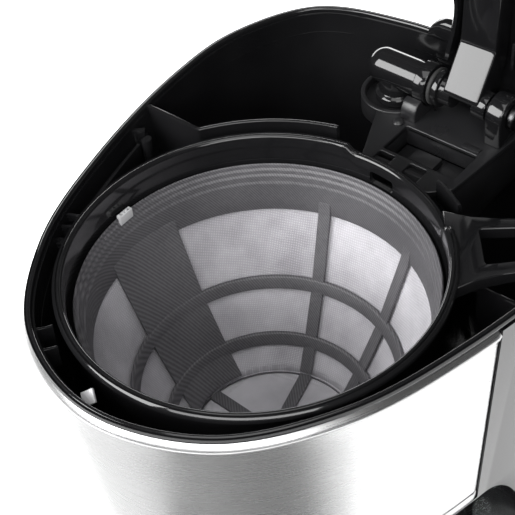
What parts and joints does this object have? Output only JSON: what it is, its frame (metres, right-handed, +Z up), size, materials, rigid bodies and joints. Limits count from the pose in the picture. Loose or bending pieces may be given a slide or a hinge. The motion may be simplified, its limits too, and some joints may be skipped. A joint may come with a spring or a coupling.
{
  "type": "drip coffee maker",
  "caption": "Drip coffee maker with a swing-up lid, lift-out filter holder with permanent cone filter, water tank, hot plate and glass carafe.",
  "frame": {"origin": "centre of the bounding box in plan, at table height under the rubber feet, with the lid open", "axes": "+Z up, -Y to the front, where the carafe comes out, +X to the right as seen from the front"},
  "size_m": [0.1874, 0.2744, 0.4951],
  "materials": {
    "gloss_black": "high gloss moulded ABS, fine edge highlights",
    "satin_black": "satin moulded polypropylene",
    "matte_black": "matte moulded polypropylene",
    "brushed_steel": "horizontally brushed stainless sheet",
    "steel_hardware": "plated screws, pins, clamps and spring",
    "hot_plate_coating": "non-stick coated steel plate",
    "cast_aluminium": "as-cast, slightly rough",
    "nylon_mesh": "fine woven nylon, pale lilac grey",
    "silicone": "translucent silicone",
    "black_rubber": "matte moulded rubber",
    "white_nylon": "natural nylon and ceramic sleeve",
    "amber_lens": "tinted clear plastic",
    "clear_glass": "clear borosilicate glass"
  },
  "bodies": {
    "machine": {"base_housing": "satin_black", "base_plate": "matte_black", "foot_front_left": "black_rubber", "foot_front_right": "black_rubber", "foot_rear_left": "black_rubber", "foot_rear_right": "black_rubber", "base_screw_1": "steel_hardware", "base_screw_2": "steel_hardware", "base_screw_3": "steel_hardware", "base_screw_4": "steel_hardware", "hot_plate": "hot_plate_coating", "heating_tube": "cast_aluminium", "heater_bracket": "steel_hardware", "bracket_screw": "steel_hardware", "thermostat": "cast_aluminium", "thermal_fuse": "white_nylon", "cord_gland": "black_rubber", "switch_bezel": "gloss_black", "indicator_lens": "amber_lens", "main_housing": "gloss_black", "front_panel": "brushed_steel", "water_tank": "gloss_black", "rear_fairing": "gloss_black", "hinge_bridge": "satin_black", "hinge_post": "gloss_black", "hinge_pin": "steel_hardware", "outlet_elbow": "gloss_black", "elbow_seal": "black_rubber", "riser_tube": "gloss_black", "check_valve": "white_nylon", "inlet_hose": "silicone", "outlet_hose": "silicone", "inlet_clamp": "steel_hardware", "outlet_clamp": "steel_hardware"},
    "lid": {"lid_cover": "gloss_black", "lid_liner": "satin_black", "water_duct": "gloss_black", "shower_head": "satin_black"},
    "holder": {"filter_holder": "gloss_black", "valve_spring": "steel_hardware"},
    "valve": {"valve_stem": "satin_black", "valve_seal": "silicone"},
    "filter": {"filter_frame": "matte_black", "filter_mesh": "nylon_mesh"},
    "carafe": {"carafe_glass": "clear_glass", "carafe_band": "brushed_steel", "carafe_handle": "satin_black", "band_screw": "steel_hardware"},
    "carafe_lid": {"carafe_lid": "satin_black"},
    "rocker": {"switch_rocker": "gloss_black"}
  },
  "joints": [
    {"name": "lid_hinge", "type": "hinge", "parent": "machine", "child": "lid", "pos_m": [0.002, 0.1006, 0.297], "axis": [1, 0, 0], "range_deg": [0, 95.7]},
    {"name": "holder_lift", "type": "slide", "parent": "machine", "child": "holder", "axis": [0, 0, 1], "range_m": [0, 0.135]},
    {"name": "filter_lift", "type": "slide", "parent": "holder", "child": "filter", "axis": [0, 0, 1], "range_m": [0, 0.13]},
    {"name": "drip_stop", "type": "slide", "parent": "holder", "child": "valve", "axis": [0, 0, 1], "range_m": [0, 0.003], "stiffness_N_per_m": 300, "springref_m": -0.004, "deforming": ["valve_spring"]},
    {"name": "carafe_slide", "type": "slide", "parent": "machine", "child": "carafe", "axis": [0, -1, 0], "range_m": [0, 0.25]},
    {"name": "carafe_lid_twist", "type": "hinge", "parent": "carafe", "child": "carafe_lid", "pos_m": [0.002, -0.0164, 0.16], "axis": [0, 0, 1], "range_deg": [0, 45]},
    {"name": "power_switch", "type": "hinge", "parent": "machine", "child": "rocker", "pos_m": [0.002, -0.0919, 0.022], "axis": [1, 0, 0], "range_deg": [0, 18]}
  ]
}
